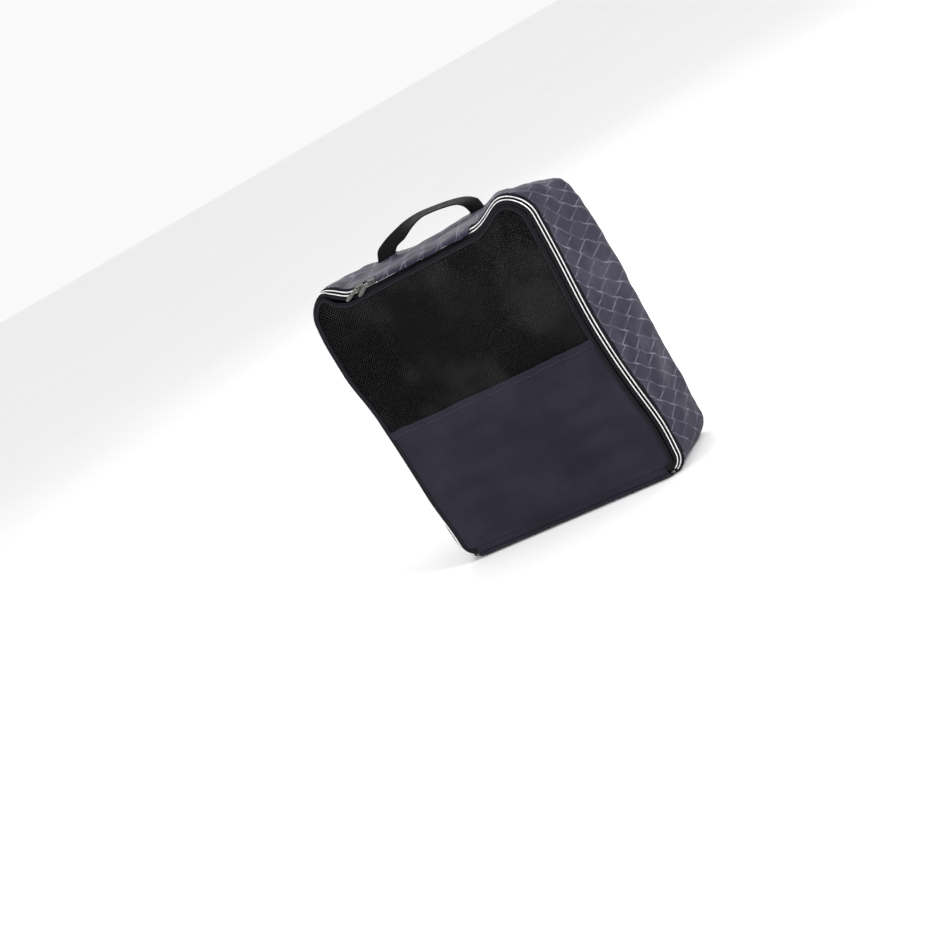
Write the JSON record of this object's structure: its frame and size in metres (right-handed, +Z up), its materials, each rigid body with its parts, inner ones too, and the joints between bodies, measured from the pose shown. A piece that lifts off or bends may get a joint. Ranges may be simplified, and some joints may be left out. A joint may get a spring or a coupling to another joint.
{
  "type": "shoe bag",
  "caption": "Soft upright shoe bag with a fold-down zipped front flap, half net and half cloth, twin zip sliders and a webbing top handle.",
  "frame": {"origin": "centre of the width on the underside of the base, level with the middle of the gusset's depth", "axes": "+X to the right seen from the front, -Y out of the front flap, +Z up through the handle"},
  "size_m": [0.3, 0.1285, 0.3707],
  "materials": {
    "cloth": "navy jacquard polyester, slight sheen",
    "cloth_dark": "navy polyester, matt",
    "net": "fine black net",
    "binding_tape": "black woven tape",
    "zip_tape": "black zip tape",
    "zip_coil": "silver coated coil",
    "slider_metal": "gunmetal die casting",
    "webbing": "black polyester webbing"
  },
  "bodies": {
    "bag_body": {"back_panel": "cloth", "gusset_left": "cloth", "gusset_top": "cloth", "gusset_right": "cloth", "bottom_panel": "cloth_dark", "back_seam_binding": "binding_tape", "zip_tape_body": "zip_tape", "zip_coil_body": "zip_coil", "zip_stop_left": "slider_metal", "zip_stop_right": "slider_metal", "handle_end_left": "webbing", "handle_end_right": "webbing"},
    "flap": {"flap_lower_panel": "cloth_dark", "flap_net": "net", "panel_hem": "cloth_dark", "flap_binding": "binding_tape", "zip_tape_flap": "zip_tape", "zip_coil_flap": "zip_coil"},
    "slider_left": {"slider_left_body": "slider_metal"},
    "pull_left": {"slider_left_pull": "slider_metal"},
    "slider_right": {"slider_right_body": "slider_metal"},
    "pull_right": {"slider_right_pull": "slider_metal"},
    "handle": {"handle_webbing": "webbing"}
  },
  "joints": [
    {"name": "flap_fold", "type": "hinge", "parent": "bag_body", "child": "flap", "pos_m": [0, -0.06, 0.0087], "axis": [1, 0, 0], "range_deg": [0, 90]},
    {"name": "slider_left_travel", "type": "slide", "parent": "flap", "child": "slider_left", "axis": [-1, 0, 0], "range_m": [0, 0.006]},
    {"name": "slider_right_travel", "type": "slide", "parent": "flap", "child": "slider_right", "axis": [1, 0, 0], "range_m": [0, 0.125]},
    {"name": "pull_left_swing", "type": "hinge", "parent": "slider_left", "child": "pull_left", "pos_m": [-0.078, -0.05625, 0.34025], "axis": [0, 0.7071, 0.7071], "range_deg": [0, 140]},
    {"name": "pull_right_swing", "type": "hinge", "parent": "slider_right", "child": "pull_right", "pos_m": [-0.062, -0.05625, 0.34025], "axis": [0, 0.7071, 0.7071], "range_deg": [0, 140]},
    {"name": "handle_swing", "type": "hinge", "parent": "bag_body", "child": "handle", "pos_m": [0, 0.041, 0.343], "axis": [1, 0, 0], "range_deg": [-60, 55]}
  ]
}
